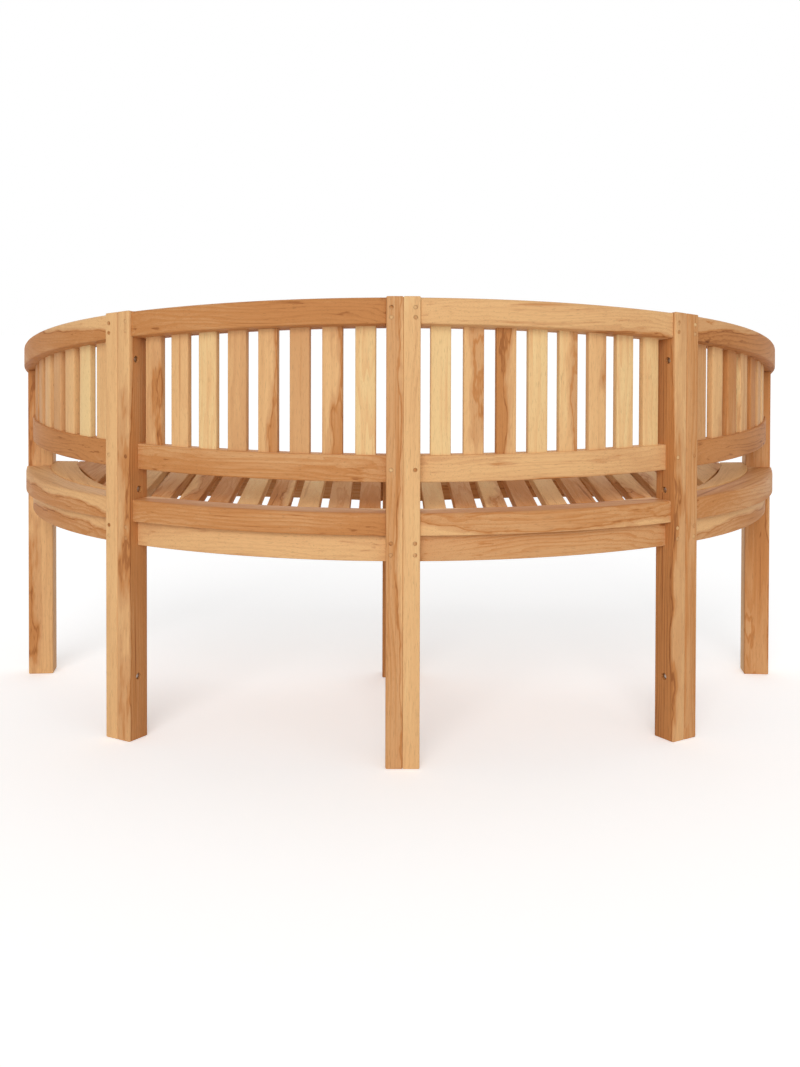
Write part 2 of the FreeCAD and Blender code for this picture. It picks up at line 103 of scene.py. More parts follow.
# Teak. The wood is oiled heartwood and paler sapwood, cut with the grain along each board. The
# pattern is worked out in the board's own lengthwise and crosswise directions, held in "grain",
# so rings show on the ends and run along the faces. "tone" makes a board pale or dark.
teak_colours = (
    (0.00, (0.83, 0.58, 0.28)),
    (0.20, (0.77, 0.455, 0.205)),
    (0.42, (0.65, 0.345, 0.150)),
    (0.62, (0.54, 0.228, 0.074)),
    (0.82, (0.36, 0.130, 0.038)),
    (1.00, (0.17, 0.056, 0.016)),
)
pore_colour = (0.16, 0.07, 0.025, 1)
pore_share = 0.35
# Distances from the middle of the tree
sway = 0.044
sapwood_starts = 0.088
sapwood_waver = 0.026
edge_blend = (0.004, 0.012)
seam_width = 0.0016
# Steps along the colours, where more is darker
heartwood_step = 0.17
sapwood_step = -0.13
seam_step = 0.17
ring_contrast = 0.15
cloud_contrast = 0.42
fibre_contrast = 0.15
streak_step = 0.24
# Draws for a board's own place in the tree
longest_stretch = 9
seed_step = 7919


def add_node(tree, kind, inputs=None, **settings):
    made = tree.nodes.new(kind)
    for name, value in settings.items():
        setattr(made, name, value)
    for name, value in (inputs or {}).items():
        if isinstance(value, bpy.types.NodeSocket):
            tree.links.new(value, made.inputs[name])
        else:
            made.inputs[name].default_value = value
    return made


def calc(tree, operation, *values):
    kind = "ShaderNodeMath"
    return add_node(tree, kind, dict(enumerate(values)), operation=operation).outputs[0]


def scaled(tree, vector, scale):
    kind = "ShaderNodeVectorMath"
    return add_node(tree, kind, {0: vector, 1: scale}, operation="MULTIPLY").outputs[0]


def noise(tree, vector, detail, roughness=0.55):
    return add_node(tree, "ShaderNodeTexNoise", {
        "Vector": vector, "Scale": 1.0, "Detail": detail, "Roughness": roughness}).outputs["Fac"]


def ranged(tree, value, start, end, low, high, blend="SMOOTHSTEP"):
    # Goes from low to high while the value goes from start to end
    return add_node(tree, "ShaderNodeMapRange", {
        "Value": value, "From Min": start, "From Max": end, "To Min": low, "To Max": high},
        interpolation_type=blend).outputs[0]


def teak(name, blush=(1.0, 1.0, 1.0), gain=1.0, roughness=(0.46, 0.66), ring_width=0.0065,
         sheen=0.12):
    # blush tints the wood, gain makes it lighter, and sheen is how much it mirrors
    material = bpy.data.materials.new(name)
    material.use_nodes = True
    tree = material.node_tree
    tree.nodes.clear()
    grain = add_node(tree, "ShaderNodeAttribute", attribute_name="grain").outputs["Vector"]
    tone = add_node(tree, "ShaderNodeAttribute", attribute_name="tone").outputs["Fac"]

    def figure(lengthwise, crosswise, detail, harshness=0.55):
        # Noise drawn out along the grain, with so many swells per metre in each direction
        stretched = scaled(tree, grain, (lengthwise, crosswise, crosswise))
        return noise(tree, stretched, detail, harshness)

    def swing(value, contrast):
        # A step about zero from a value between 0 and 1
        return calc(tree, "MULTIPLY_ADD", value, contrast, -contrast / 2)

    # Distance from the middle of the tree, which sways a little along the board
    drift = add_node(tree, "ShaderNodeTexNoise", {
        "Vector": scaled(tree, grain, (2.4, 9.0, 9.0)), "Scale": 1.0, "Detail": 2.0})
    bend = add_node(tree, "ShaderNodeVectorMath", {
        0: drift.outputs["Color"], 1: (0.5, 0.5, 0.5)}, operation="SUBTRACT").outputs[0]
    warped = add_node(tree, "ShaderNodeVectorMath", {
        0: scaled(tree, bend, (0.0, sway, sway)), 1: grain}, operation="ADD").outputs[0]
    parts = add_node(tree, "ShaderNodeSeparateXYZ", {0: warped}).outputs
    across = calc(tree, "MULTIPLY", parts[1], parts[1])
    through = calc(tree, "MULTIPLY", parts[2], parts[2])
    from_pith = calc(tree, "SQRT", calc(tree, "ADD", across, through))

    # Year rings, uneven in width and in strength
    uneven = calc(tree, "MULTIPLY", figure(1.2, 45.0, 2.0), 3.2)
    ring_number = calc(tree, "ADD", calc(tree, "DIVIDE", from_pith, ring_width), uneven)
    late_wood = ranged(tree, calc(tree, "FRACT", ring_number), 0.35, 0.95, 0.0, 1.0)
    ring_strength = calc(tree, "MULTIPLY", figure(2.0, 24.0, 1.0), ring_contrast)
    rings = calc(tree, "MULTIPLY", calc(tree, "SUBTRACT", late_wood, 0.5), ring_strength)

    # Heartwood inside, sapwood outside and a thin dark seam between them
    sap_edge = calc(tree, "ADD", calc(tree, "SUBTRACT", from_pith, sapwood_starts),
                    calc(tree, "MULTIPLY", figure(9.0, 40.0, 3.0), sapwood_waver))
    wood = ranged(tree, sap_edge, *edge_blend, heartwood_step, sapwood_step)
    from_seam = calc(tree, "ABSOLUTE", calc(tree, "SUBTRACT", sap_edge, edge_blend[0]))
    seam = ranged(tree, from_seam, 0.0, seam_width, seam_step, 0.0)

    # Soft clouds, fine fibre and long dark veins
    cloud = swing(figure(3.0, 17.0, 3.0), cloud_contrast)
    fibre = swing(figure(14.0, 420.0, 2.0), fibre_contrast)
    streak = ranged(tree, figure(1.3, 110.0, 2.0, 0.6), 0.60, 0.76, 0.0, streak_step)

    shade = calc(tree, "ADD", tone, rings)
    for part in (wood, seam, cloud, fibre, streak):
        shade = calc(tree, "ADD", shade, part)
    ramp = add_node(tree, "ShaderNodeValToRGB", {0: shade})
    ramp.color_ramp.interpolation = "EASE"
    while len(ramp.color_ramp.elements) < len(teak_colours):
        ramp.color_ramp.elements.new(1.0)
    for element, (position, colour) in zip(ramp.color_ramp.elements, teak_colours):
        element.position = position
        element.color = [part * tint * gain for part, tint in zip(colour, blush)] + [1.0]

    # Dark open pores, which lie a little lower than the fibre
    pore_pits = ranged(tree, figure(60.0, 1500.0, 1.0), 0.62, 0.70, 0.0, 1.0, "LINEAR")
    pored = add_node(tree, "ShaderNodeMix", {
        0: calc(tree, "MULTIPLY", pore_pits, pore_share), 6: ramp.outputs[0], 7: pore_colour},
        data_type="RGBA", blend_type="MIX").outputs[2]
    height = calc(tree, "SUBTRACT", calc(tree, "MULTIPLY", fibre, 1.6),
                  calc(tree, "MULTIPLY", pore_pits, 0.5))
    bump = add_node(tree, "ShaderNodeBump", {"Strength": 0.25, "Distance": 0.0006, "Height": height})
    rough = ranged(tree, cloud, -0.12, 0.12, roughness[0], roughness[1], "LINEAR")
    shader = add_node(tree, "ShaderNodeBsdfPrincipled", {
        "Base Color": pored, "Roughness": rough, "Normal": bump.outputs[0]})
    shader.inputs["Specular IOR Level"].default_value = sheen
    add_node(tree, "ShaderNodeOutputMaterial", {"Surface": shader.outputs[0]})
    return material


def grain_of(mesh, heading, pith, tones, cuts=None):
    # Writes each board's own directions, with its own stretch of the tree, and its tone. A mesh
    # of several boards has their numbers in "board". pith is a stretch along the tree and the
    # two distances from its middle. cuts gives those two distances board by board.
    heading = Vector(heading).normalized()
    upright = abs(heading.z) >= 0.9
    side = Vector((1, 0, 0)) if upright else Vector((-heading.y, heading.x, 0)).normalized()
    third = heading.cross(side)
    mesh.attributes.new("grain", "FLOAT_VECTOR", "POINT")
    mesh.attributes.new("tone", "FLOAT", "POINT")
    grain = mesh.attributes["grain"]
    tone = mesh.attributes["tone"]
    boards = mesh.attributes.get("board")
    local = mesh.attributes.get("local")
    numbers = [item.value for item in boards.data] if boards else [0] * len(mesh.vertices)
    centres = {}
    for number in set(numbers):
        places = [vertex.co for vertex, own in zip(mesh.vertices, numbers) if own == number]
        centres[number] = sum(places, Vector()) / len(places)
    for index, vertex in enumerate(mesh.vertices):
        number = numbers[index]
        away = vertex.co - centres[number]
        own = Vector((away.dot(heading), away.dot(side), away.dot(third)))
        if local:
            own = Vector(local.data[index].vector)
        shift = Vector(pith)
        if boards:
            draw = random.Random(number * seed_step + int(pith[0] * 1000))
            shift = Vector((draw.uniform(0, longest_stretch), draw.uniform(-0.05, 0.05),
                            draw.uniform(0.02, 0.11)))
            if cuts:
                shift = Vector((shift.x, *cuts[number % len(cuts)]))
        grain.data[index].vector = own + shift
        tone.data[index].value = tones[number % len(tones)]


# Legs. Square-edged teak posts, planed, with softened edges. They stand in pairs where two back
# sections meet, cut to the slope of the top rail. The end legs stop under the top rail.
leg_width = 0.029
leg_depth = 0.047
leg_softening = 0.0022
end_leg_x = 0.7605
end_leg_back = back_y + 0.568
end_leg_turn = math.radians(5.0)
end_leg_width = 0.051
end_leg_depth = 0.045
top_of_rail = (0.8, -0.1913)
under_top_rail = (0.754, -0.1913)
middle_place = place_on_curve(middle_centre, middle_radius, 0.0)
joint_place = place_on_curve(middle_centre, middle_radius, joint_angle)
end_place = (
    Vector((end_leg_x, end_leg_back)),
    Vector((math.cos(end_leg_turn), -math.sin(end_leg_turn))),
    Vector((math.sin(end_leg_turn), math.cos(end_leg_turn))))
crease_angle = math.radians(38)
corner_angle = math.radians(40)
# Holes for pegs, down the outer faces, and for bolts, each at a height and a depth into the leg
hole_sides = 24
drill_overrun = 0.001
peg_hole_radius = 0.0036
peg_length = 0.036
peg_from_side = 0.0086
top_peg_depths = (0.019, 0.036)
lower_peg_depth = 0.021
apron_peg_rises = (0.0155, 0.035)
bolt_places = ((0.114, 0.0235), (0.452, 0.026), (0.686, 0.0185))
counterbore_radius = 0.0062
counterbore_depth = 0.0075
top_of_lower_rail = (0.528, 0.041)
under_apron = (0.3476, 0.0233)


def finish_piece(name, mesh, material, replaced):
    # Shades a made mesh, sets its material and stands it in the place of the plain solids
    mesh.materials.clear()
    mesh.materials.append(material)
    for polygon in mesh.polygons:
        polygon.use_smooth = True
        polygon.material_index = 0
    mesh.set_sharp_from_angle(angle=crease_angle)
    mesh.name = name
    piece = bpy.data.objects.new(name, mesh)
    bpy.context.scene.collection.objects.link(piece)
    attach(piece, "root")
    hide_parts(*replaced)


def evaluated_mesh(piece):
    # The mesh with its modifiers applied. The piece that carried them is taken away.
    bpy.context.view_layer.update()
    graph = bpy.context.evaluated_depsgraph_get()
    mesh = bpy.data.meshes.new_from_object(piece.evaluated_get(graph))
    old = piece.data
    bpy.data.objects.remove(piece)
    if isinstance(old, bpy.types.Mesh):
        bpy.data.meshes.remove(old)
    return mesh


def rounded(mesh, width, weighted=False, segments=3):
    # Eases the edges of a sharp-cornered mesh, by weight where some are rounder than others
    piece = bpy.data.objects.new("blank", mesh)
    bpy.context.scene.collection.objects.link(piece)
    bevel = piece.modifiers.new("bevel", "BEVEL")
    bevel.width = width
    bevel.segments = segments
    bevel.limit_method = "WEIGHT" if weighted else "ANGLE"
    bevel.angle_limit = corner_angle
    return evaluated_mesh(piece)


def mirrored_mesh(mesh):
    copy = mesh.copy()
    copy.transform(Matrix.Scale(-1, 4, (1, 0, 0)))
    copy.flip_normals()
    return copy


def peg_starts(place, across):
    # Where the pegs enter one leg: two at the top rail, one at the lower rail, two at the apron
    at = place[0] + place[1] * across
    heights = [height_at(top_of_rail, at.y) - depth for depth in top_peg_depths]
    heights.append(height_at(top_of_lower_rail, at.y) - lower_peg_depth)
    heights += [height_at(under_apron, at.y) + rise for rise in apron_peg_rises]
    return [(Vector((at.x, at.y, height)), place[2].to_3d()) for height in heights]


def bolt_ends(place, half_width, places):
    # For each bolt through a pair of legs, the two outer faces it starts from, and the ways in
    ends = []
    for height, depth in places:
        for way in (1, -1):
            at = place[0] - place[1] * half_width * way + place[2] * depth
            ends.append((Vector((at.x, at.y, height)), (place[1] * way).to_3d()))
    return ends


def bored(mesh, pegs, bolts):
    # The peg holes and the wide, shallow bores for bolt heads and nuts, cut out of a leg
    shape = bmesh.new()
    holes = [(start, way, peg_hole_radius, peg_length) for start, way in pegs]
    holes += [(start, way, counterbore_radius, counterbore_depth) for start, way in bolts]
    for start, way, radius, depth in holes:
        turned = way.to_track_quat("Z", "Y").to_matrix().to_4x4()
        middle = Matrix.Translation(start + way * (depth / 2 - drill_overrun))
        bmesh.ops.create_cone(shape, cap_ends=True, segments=hole_sides, radius1=radius,
                              radius2=radius, depth=depth + 2 * drill_overrun,
                              matrix=middle @ turned)
    drill_mesh = bpy.data.meshes.new("drill")
    shape.to_mesh(drill_mesh)
    shape.free()
    drill = bpy.data.objects.new("drill", drill_mesh)
    bpy.context.scene.collection.objects.link(drill)
    blank = bpy.data.objects.new("blank", mesh)
    bpy.context.scene.collection.objects.link(blank)
    cut = blank.modifiers.new("cut", "BOOLEAN")
    cut.operation = "DIFFERENCE"
    cut.solver = "EXACT"
    cut.object = drill
    result = evaluated_mesh(blank)
    bpy.data.objects.remove(drill)
    return result


def post_mesh(place, left, right, depth, top):
    # An upright on the ground, cut off on top by a sloping plane
    origin, along, inward = place
    corners = [origin + along * left, origin + along * right,
               origin + along * right + inward * depth, origin + along * left + inward * depth]
    points = [(corner.x, corner.y, 0) for corner in corners]
    points += [(corner.x, corner.y, height_at(top, corner.y)) for corner in corners]
    faces = [(3, 2, 1, 0), (4, 5, 6, 7), (0, 1, 5, 4), (1, 2, 6, 5), (2, 3, 7, 6), (3, 0, 4, 7)]
    mesh = bpy.data.meshes.new("post")
    mesh.from_pydata(points, [], faces)
    return rounded(mesh, leg_softening)


leg_teak = teak("oiled_teak_legs")
leg_rows = (
    ("back_leg_middle_SIDE", middle_place, 0, leg_width, leg_depth, top_of_rail,
     {"right": (0.10, 0.07, 0.10), "left": (0.20, 0.034, 0.080)},
     {"right": 0.34, "left": 0.35}, leg_width - peg_from_side),
    # The inner legs' tree middles lie towards their side faces that look to the middle stretch, so
    # dark heartwood covers those faces, and their tone is the darkest of the legs: painted shade on
    # those side faces, drawn as heartwood.
    ("back_leg_SIDE_inner", joint_place, -leg_width, 0, leg_depth, top_of_rail,
     {"right": (0.31, 0.0356, -0.0554), "left": (0.42, -0.0356, -0.0554)},
     {"right": 0.46, "left": 0.46}, -leg_width + peg_from_side),
    ("back_leg_SIDE_outer", joint_place, 0, leg_width, leg_depth, top_of_rail,
     {"right": (0.53, -0.02, 0.06), "left": (0.64, 0.05, 0.11)},
     {"right": 0.36, "left": 0.40}, leg_width - peg_from_side),
    ("end_leg_SIDE", end_place, -end_leg_width / 2, end_leg_width / 2, end_leg_depth,
     under_top_rail, {"right": (0.75, 0.02, 0.09), "left": (0.86, 0.03, 0.10)},
     {"right": 0.40, "left": 0.44}, None),
)
peg_spots = []
bolt_spots = []
for row_name, place, left, right, depth, top, piths, tones, peg_line in leg_rows:
    shape = post_mesh(place, left, right, depth, top)
    if peg_line is not None:
        pegs = peg_starts(place, peg_line)
        bolts = bolt_ends(place, leg_width, bolt_places)
        shape = bored(shape, pegs, bolts)
        peg_spots += pegs
        if row_name != "back_leg_SIDE_outer":
            bolt_spots.append((place, leg_width, bolt_places))
    for side in ("right", "left"):
        mesh = shape.copy() if side == "right" else mirrored_mesh(shape)
        name = row_name.replace("SIDE", side)
        grain_of(mesh, (0, 0, 1), piths[side], (tones[side],))
        finish_piece(name + "_post", mesh, leg_teak, [name])

# Curved boards between the legs: top rails, lower back rails, seat rims and the aprons under
# them. Each is sawn from thick plank to the curve, so its grain runs straight while it bends.
arc_steps = 28
shoulder_rounding = 0.12
level_end_rounding = 0.3
chord_degrees = {"middle": 16, "end": 57}


def crossing(centre, radius, line):
    # Angle on a circle where a plan line meets it nearest to the line's own point
    anchor, heading = line
    away = anchor - centre
    along = away.dot(heading)
    reach = math.sqrt(along ** 2 - away.dot(away) + radius ** 2)
    point = away + heading * min((-along - reach, -along + reach), key=abs)
    return math.atan2(point.x, -point.y)


def leg_side(place, across):
    # Plan line along the side of a leg
    return place[0] + place[1] * across, place[2]


sections = {
    "middle": (middle_centre, middle_radius, leg_side(middle_place, leg_width),
               leg_side(joint_place, -leg_width)),
    "end": (side_centre, side_radius, leg_side(joint_place, leg_width),
            (end_place[0], end_place[1])),
}


def curved_board(section, sides, low, high, softening, weights, end=None):
    # Sweeps four corners along the arc. weights gives each corner's rounding, as a share of
    # softening: outer low, outer high, inner high, inner low. The last is for the end's corners.
    centre, radius, start_line, end_line = sections[section]
    end_line = end or end_line
    shape = bmesh.new()
    weight = shape.edges.layers.float.new("bevel_weight_edge")
    corners = ((sides[0], low), (sides[0], high), (sides[1], high), (sides[1], low))
    rings = []
    for step in range(arc_steps + 1):
        ring = []
        for offset, plane in corners:
            first = crossing(centre, radius - offset, start_line)
            last = crossing(centre, radius - offset, end_line)
            angle = first + (last - first) * step / arc_steps
            point = place_on_curve(centre, radius, angle, offset)[0]
            ring.append(shape.verts.new((point.x, point.y, height_at(plane, point.y))))
        rings.append(ring)
    for before, after in zip(rings, rings[1:]):
        for index in range(4):
            following = (index + 1) % 4
            shape.faces.new((before[index], before[following], after[following], after[index]))
    shape.faces.new(rings[0])
    shape.faces.new(rings[-1])
    bmesh.ops.recalc_face_normals(shape, faces=shape.faces)
    shape.edges.ensure_lookup_table()
    for before, after in zip(rings, rings[1:]):
        for index in range(4):
            shape.edges.get((before[index], after[index]))[weight] = weights[index]
    for index in range(4):
        ring_edge = shape.edges.get((rings[-1][index], rings[-1][(index + 1) % 4]))
        upright = index in (0, 2)
        ring_edge[weight] = weights[4] if upright else min(weights[4], level_end_rounding)
        shoulder = shape.edges.get((rings[0][index], rings[0][(index + 1) % 4]))
        shoulder[weight] = shoulder_rounding
    mesh = bpy.data.meshes.new("board")
    shape.to_mesh(mesh)
    shape.free()
    return rounded(mesh, softening, weighted=True, segments=4)


top_rail_sides = (0.0048, 0.0516)
top_rail_end = (Vector((end_leg_x, cad_high.y)), Vector((1, 0)))
lower_rail_sides = (0.022, 0.047)
under_lower_rail = (0.482, 0.041)
rim_sides = (0.008, 0.058)
top_of_rim = (0.432, 0.019)
under_rim = (0.394, 0.0105)
apron_sides = (0.022, 0.046)
rail_teak = teak("oiled_teak_rails", ring_width=0.008)
# How far a board lies from the middle of its tree, crosswise and through the board
heart = (0.030, 0.040)
sap = (0.050, 0.100)
sap_below = (0.050, -0.066)
crossed = (0.040, 0.078)
board_rows = (
    ("top_rail", top_rail_sides, under_top_rail, top_of_rail, 0.012, (0.2, 0.8, 0.4, 0.2),
     "teak_rails", {"left_end": (0.46, heart), "left_middle": (0.44, heart),
                    "right_middle": (0.38, sap), "right_end": (0.52, heart)}),
    ("lower_back_rail", lower_rail_sides, under_lower_rail, top_of_lower_rail, 0.003,
     (0.8, 0.8, 0.8, 0.8), "teak_rails",
     {"left_end": (0.44, heart), "left_middle": (0.38, heart), "right_middle": (0.44, sap),
      "right_end": (0.52, heart)}),
    ("seat_rim", rim_sides, under_rim, top_of_rim, 0.006, (0.3, 1.0, 0.2, 0.2),
     "teak_seat_frame", {"left_end": (0.44, crossed), "left_middle": (0.41, heart),
                         "right_middle": (0.38, sap_below), "right_end": (0.40, heart)}),
    ("back_apron", apron_sides, under_apron, under_rim, 0.002, (1.0, 0.5, 0.5, 1.0),
     "teak_seat_frame", {"left_end": (0.40, crossed), "left_middle": (0.43, sap),
                         "right_middle": (0.30, heart), "right_end": (0.38, crossed)}),
)
for number, (kind, sides, low, high, softening, weights, slot, tones) in enumerate(board_rows):
    for section in ("middle", "end"):
        over_end = kind == "top_rail" and section == "end"
        end_weight = 1.0 if over_end else shoulder_rounding
        shape = curved_board(section, sides, low, high, softening, weights + (end_weight,),
                             top_rail_end if over_end else None)
        for side in ("right", "left"):
            mesh = shape.copy() if side == "right" else mirrored_mesh(shape)
            key = side + "_" + section
            name = kind + "_" + key
            chord = math.radians(chord_degrees[section])
            heading = (math.cos(chord), math.sin(chord) * (1 if side == "right" else -1), 0)
            draw = random.Random(number * 10 + len(name) + (3 if side == "left" else 0))
            tone, cut = tones[key]
            grain_of(mesh, heading, (draw.uniform(0, longest_stretch), *cut), (tone,))
            finish_piece(name + "_board", mesh, rail_teak, [name])

# Back slats. Flat uprights of equal width, tongued into the two rails at equal gaps. Each
# stretch of the back has eight, set square to the curve. Their colours vary most.
slats_in_section = 8
back_slat_width = 0.0355
back_slat_thickness = 0.0135
back_slat_offset = 0.027
back_slat_rounding = 0.0024
slat_tongue = 0.004
slat_teak = teak("oiled_teak_slats", ring_width=0.009)


def geometry_tree(name, inputs):
    tree = bpy.data.node_groups.new(name, "GeometryNodeTree")
    tree.interface.new_socket("Geometry", in_out="INPUT", socket_type="NodeSocketGeometry")
    for label, kind in inputs.items():
        tree.interface.new_socket(label, in_out="INPUT", socket_type="NodeSocket" + kind)
    tree.interface.new_socket("Geometry", in_out="OUTPUT", socket_type="NodeSocketGeometry")
    return tree, tree.nodes.new("NodeGroupInput").outputs


def grown(tree, values, base=None):
    # The mesh that a tree makes with these values
    piece = bpy.data.objects.new("base", base or bpy.data.meshes.new("base"))
    bpy.context.scene.collection.objects.link(piece)
    modifier = piece.modifiers.new("grow", "NODES")
    modifier.node_group = tree
    for item in tree.interface.items_tree:
        if item.in_out == "INPUT" and item.name in values:
            modifier[item.identifier] = values[item.name]
    return evaluated_mesh(piece)


def rounded_bar(tree, width, thickness, rounding, rings):
    # A bar along Z with eased long edges, one unit long for each step between its rings
    outline = add_node(tree, "GeometryNodeCurvePrimitiveQuadrilateral", {
        "Width": width, "Height": thickness}).outputs[0]
    outline = add_node(tree, "GeometryNodeFilletCurve", {
        "Curve": outline, "Radius": rounding, "Count": 3}, mode="POLY").outputs[0]
    spine = add_node(tree, "GeometryNodeCurvePrimitiveLine", {
        "Start": (0, 0, 0), "End": (0, 0, rings - 1)}).outputs[0]
    spine = add_node(tree, "GeometryNodeResampleCurve", {"Curve": spine, "Count": rings}).outputs[0]
    return add_node(tree, "GeometryNodeCurveToMesh", {
        "Curve": spine, "Profile Curve": outline, "Fill Caps": True}).outputs[0]


def store(tree, geometry, label, value, data_type):
    return add_node(tree, "GeometryNodeStoreNamedAttribute", {
        "Geometry": geometry, "Name": label, "Value": value}, data_type=data_type).outputs[0]


def stored(tree, label, data_type="FLOAT"):
    # Reads back what store wrote
    kind = "GeometryNodeInputNamedAttribute"
    return add_node(tree, kind, {"Name": label}, data_type=data_type).outputs[0]


def point_xyz(tree):
    # Each point's X, Y and Z
    place = add_node(tree, "GeometryNodeInputPosition").outputs[0]
    return add_node(tree, "ShaderNodeSeparateXYZ", {0: place}).outputs


def combined(tree, x, y, z):
    return add_node(tree, "ShaderNodeCombineXYZ", {0: x, 1: y, 2: z}).outputs[0]


def repeated(tree, spots, blank, **inputs):
    # The blank at each spot, as real geometry
    settings = {"Points": spots, "Instance": blank, **inputs}
    copies = add_node(tree, "GeometryNodeInstanceOnPoints", settings).outputs[0]
    return add_node(tree, "GeometryNodeRealizeInstances", {"Geometry": copies}).outputs[0]


def finish_tree(tree, geometry, material):
    dressed = add_node(tree, "GeometryNodeSetMaterial", {
        "Geometry": geometry, "Material": material})
    add_node(tree, "NodeGroupOutput", {"Geometry": dressed.outputs[0]})


def back_slat_tree():
    tree, given = geometry_tree("row_of_back_slats", {
        "Count": "Int", "First Angle": "Float", "Angle Step": "Float", "Radius": "Float",
        "Centre X": "Float", "Centre Y": "Float", "Width": "Float", "Thickness": "Float",
        "Rounding": "Float", "Low Height": "Float", "Low Slope": "Float",
        "High Height": "Float", "High Slope": "Float", "Material": "Material"})
    blank = rounded_bar(tree, given["Width"], given["Thickness"], given["Rounding"], 2)
    place = point_xyz(tree)
    usual_length = calc(tree, "SUBTRACT", given["High Height"], given["Low Height"])
    own = combined(tree, calc(tree, "MULTIPLY", place[2], usual_length), place[0], place[1])
    blank = store(tree, blank, "local", own, "FLOAT_VECTOR")

    index = add_node(tree, "GeometryNodeInputIndex").outputs[0]
    angle = calc(tree, "MULTIPLY_ADD", index, given["Angle Step"], given["First Angle"])
    x = calc(tree, "MULTIPLY_ADD", calc(tree, "SINE", angle), given["Radius"], given["Centre X"])
    inwards = calc(tree, "MULTIPLY", calc(tree, "COSINE", angle), given["Radius"])
    y = calc(tree, "SUBTRACT", given["Centre Y"], inwards)
    depth = calc(tree, "SUBTRACT", y, back_y)
    low = calc(tree, "MULTIPLY_ADD", depth, given["Low Slope"], given["Low Height"])
    high = calc(tree, "MULTIPLY_ADD", depth, given["High Slope"], given["High Height"])
    spots = add_node(tree, "GeometryNodePoints", {
        "Count": given["Count"], "Position": combined(tree, x, y, low)}).outputs[0]
    spots = store(tree, spots, "board", index, "INT")
    spots = store(tree, spots, "length", calc(tree, "SUBTRACT", high, low), "FLOAT")
    spots = store(tree, spots, "turn", angle, "FLOAT")
    slats = repeated(tree, spots, blank, Rotation=combined(tree, 0.0, 0.0, stored(tree, "turn")),
                     Scale=combined(tree, 1.0, 1.0, stored(tree, "length")))
    finish_tree(tree, slats, given["Material"])
    return tree


slat_tree = back_slat_tree()
slat_tones = {
    "left_middle": (0.26, 0.38, 0.22, 0.42, 0.20, 0.22, 0.38, 0.44),
    "right_middle": (0.20, 0.32, 0.42, 0.22, 0.26, 0.34, 0.24, 0.20),
    "left_end": (0.30, 0.16, 0.38, 0.24, 0.44, 0.22, 0.34, 0.28),
    "right_end": (0.26, 0.36, 0.40, 0.18, 0.42, 0.24, 0.36, 0.30),
}
slat_heart = (0.020, 0.040)
slat_cuts = {
    "left_middle": (sap, (0.040, 0.084), slat_heart, (0.040, 0.079), slat_heart, sap, sap,
                    (0.040, 0.079)),
    "right_middle": (sap, (-0.040, 0.0855), (0.040, 0.0755), sap, (-0.040, 0.0817),
                     (-0.040, 0.083), sap, sap),
}
seed_by_letters = 0.37
seed_on_left = 0.9
# The middle rows start a little nearer the middle and stand wider apart than in the solids
first_slat_shift = {"middle": -0.0029, "end": 0.0}
slat_spread = {"middle": 1.026, "end": 1.0}
for section in ("middle", "end"):
    centre, radius, start_line, end_line = sections[section]
    slat_radius = radius - back_slat_offset - back_slat_thickness / 2
    first = crossing(centre, slat_radius, start_line)
    last = crossing(centre, slat_radius, end_line)
    slat_angle = back_slat_width / slat_radius
    gap_angle = (last - first - slats_in_section * slat_angle) / (slats_in_section + 1)
    shape = grown(slat_tree, {
        "Count": slats_in_section,
        "First Angle": (first + gap_angle + slat_angle / 2
                        + first_slat_shift[section] / slat_radius),
        "Angle Step": (slat_angle + gap_angle) * slat_spread[section], "Radius": slat_radius,
        "Centre X": centre.x, "Centre Y": centre.y,
        "Width": back_slat_width, "Thickness": back_slat_thickness, "Rounding": back_slat_rounding,
        "Low Height": top_of_lower_rail[0] - slat_tongue, "Low Slope": top_of_lower_rail[1],
        "High Height": under_top_rail[0] + slat_tongue, "High Slope": under_top_rail[1],
        "Material": slat_teak})
    for side in ("right", "left"):
        mesh = shape.copy() if side == "right" else mirrored_mesh(shape)
        key = side + "_" + section
        seed = len(key) * seed_by_letters + (seed_on_left if side == "left" else 0)
        grain_of(mesh, (0, 0, 1), (seed, 0, 0), slat_tones[key], slat_cuts.get(key))
        name = "back_slats_" + key
        finish_piece(name + "_row", mesh, slat_teak, [name])

# Seat slats. Straight boards that run from the back rim to the hollowed front edge and fan out
# a little. They rest on the ledgers and the front apron, with eased edges and equal gaps.
seat_slat_count = 23
seat_slat_pitch = 0.0537
seat_slat_gap = 0.016
seat_slat_thickness = 0.019
seat_slat_rounding = 0.0018
slat_by_leg = 9.0
trim_passes = 2
# The middle and last slats are wider, the middle one and those by the legs reach further back
middle_slat_extra = 0.00315
last_slat_extra = 0.022
middle_slat_longer = 0.011
leg_slat_longer = 0.013
seat_fan = 0.088
fan_start = back_y + 0.060
top_of_seat = (0.432, 0.0255)
ring_steps = 3
front_radius = 11.047
front_centre = Vector((0, back_y + 0.590 + front_radius))
end_board_tip = Vector((0.528, back_y + 0.236))
end_board_middle = Vector((0.627, back_y + 0.412))
end_board_front = Vector((0.694, back_y + 0.630))


def circle_through(first, second, third):
    # Centre and radius of the circle through three plan points
    a = second - first
    b = third - first
    turn_of = 2 * (a.x * b.y - a.y * b.x)
    from_first = Vector((b.y * a.dot(a) - a.y * b.dot(b),
                         a.x * b.dot(b) - b.x * a.dot(a))) / turn_of
    return first + from_first, from_first.length


def near_side(tree, x, centre, radius):
    # Plan Y of a circle's back half at x
    across = calc(tree, "SUBTRACT", x, centre.x)
    under = calc(tree, "SUBTRACT", radius ** 2, calc(tree, "MULTIPLY", across, across))
    return calc(tree, "SUBTRACT", centre.y, calc(tree, "SQRT", under))


